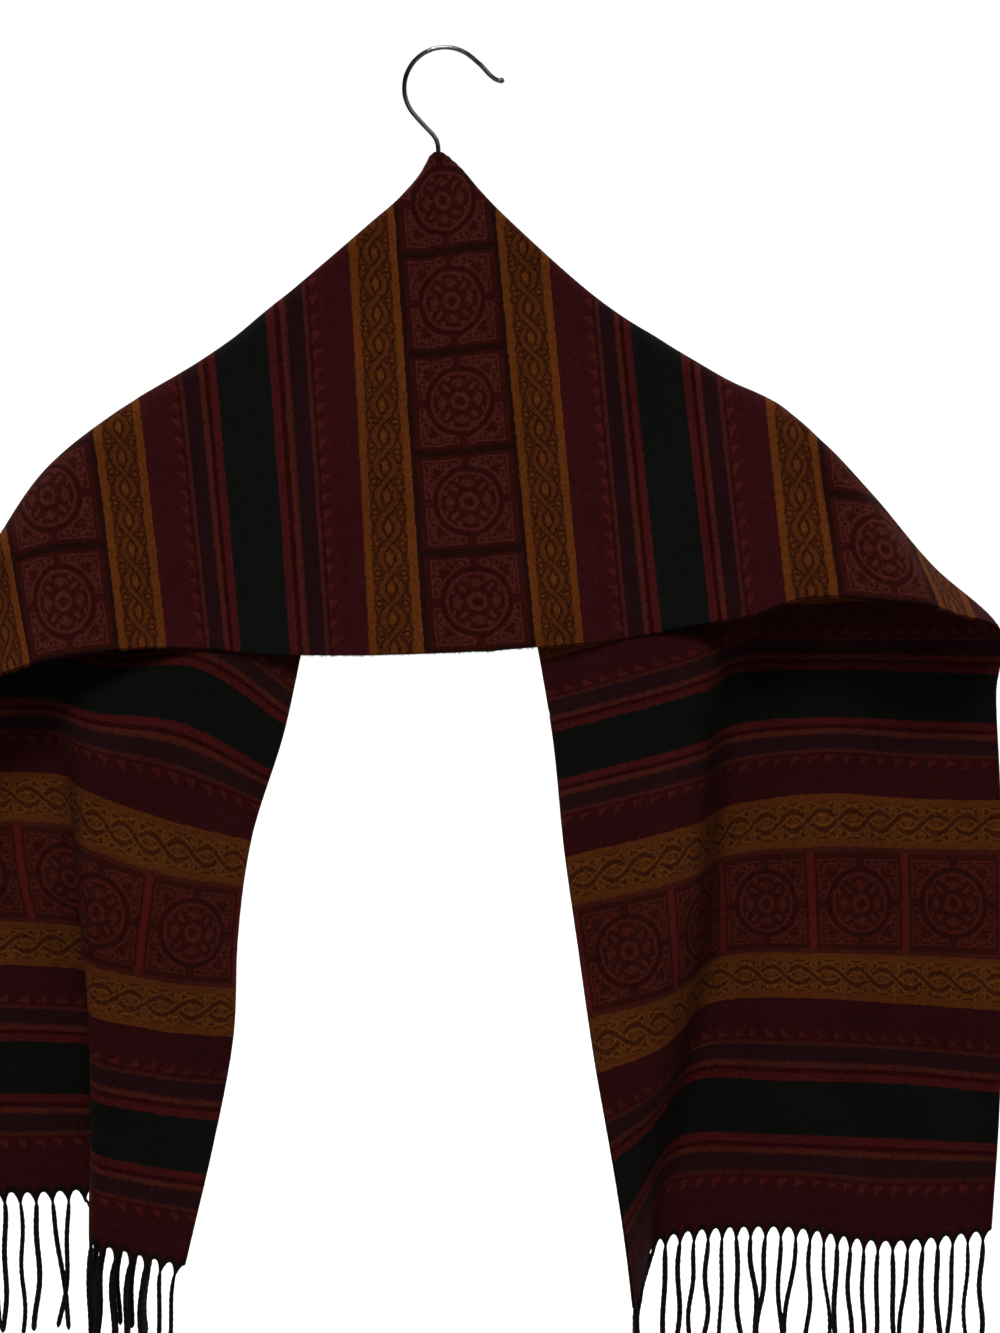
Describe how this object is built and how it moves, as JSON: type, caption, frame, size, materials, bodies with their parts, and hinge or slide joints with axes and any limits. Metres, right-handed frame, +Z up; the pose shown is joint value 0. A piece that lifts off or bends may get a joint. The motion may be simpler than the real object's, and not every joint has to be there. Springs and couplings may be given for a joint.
{
  "type": "long scarf draped on a wire clothes hanger",
  "caption": "Long fringed wool scarf hung like a shawl over a wire clothes hanger, with a patterned front panel and two tails behind.",
  "frame": {"origin": "inner top of the hanger's hook, where it hangs on a rail", "axes": "+Z up; -Y is the front, where the panel hangs; +X to the right seen from the front"},
  "size_m": [0.7545, 0.1021, 0.9043],
  "materials": {
    "patterned_wool": "brushed woven wool, matt",
    "fringe_yarn": "twisted yarn, matt",
    "hanger_steel": "polished"
  },
  "bodies": {
    "root": {"centre_panel": "patterned_wool", "left_tail": "patterned_wool", "right_tail": "patterned_wool", "left_fringe": "fringe_yarn", "right_fringe": "fringe_yarn", "hanger_hook": "hanger_steel", "hanger_shoulder_left": "hanger_steel", "hanger_shoulder_right": "hanger_steel", "hanger_bar": "hanger_steel"}
  },
  "joints": []
}
